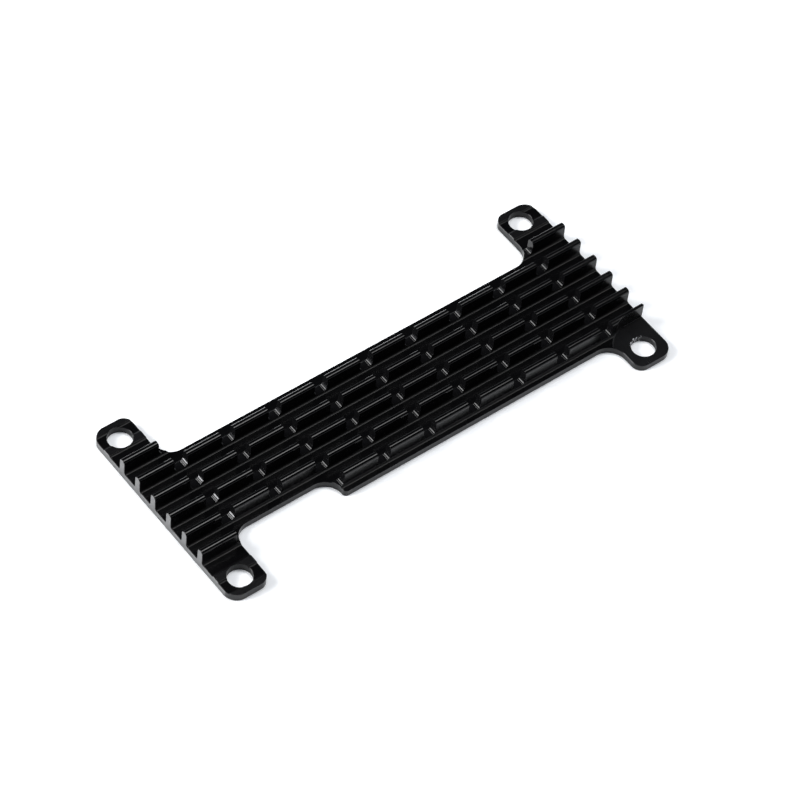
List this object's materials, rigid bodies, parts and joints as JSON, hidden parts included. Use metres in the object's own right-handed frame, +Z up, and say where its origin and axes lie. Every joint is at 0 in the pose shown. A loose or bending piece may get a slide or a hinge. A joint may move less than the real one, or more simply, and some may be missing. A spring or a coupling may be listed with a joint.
{
  "type": "heat sink",
  "caption": "Flat black finned heat sink plate with screw ears and edge recesses, for the top of a small single-board computer.",
  "frame": {"origin": "middle of the plate on its flat underside", "axes": "+X along the fins, towards the end whose two ears have a straight recess between them; +Y towards the side with one long waist; +Z up out of the fin tips"},
  "size_m": [0.0634, 0.0276, 0.003],
  "materials": {
    "black_anodised_aluminium": "black anodised, satin"
  },
  "bodies": {
    "root": {"heat_sink": "black_anodised_aluminium"}
  },
  "joints": []
}
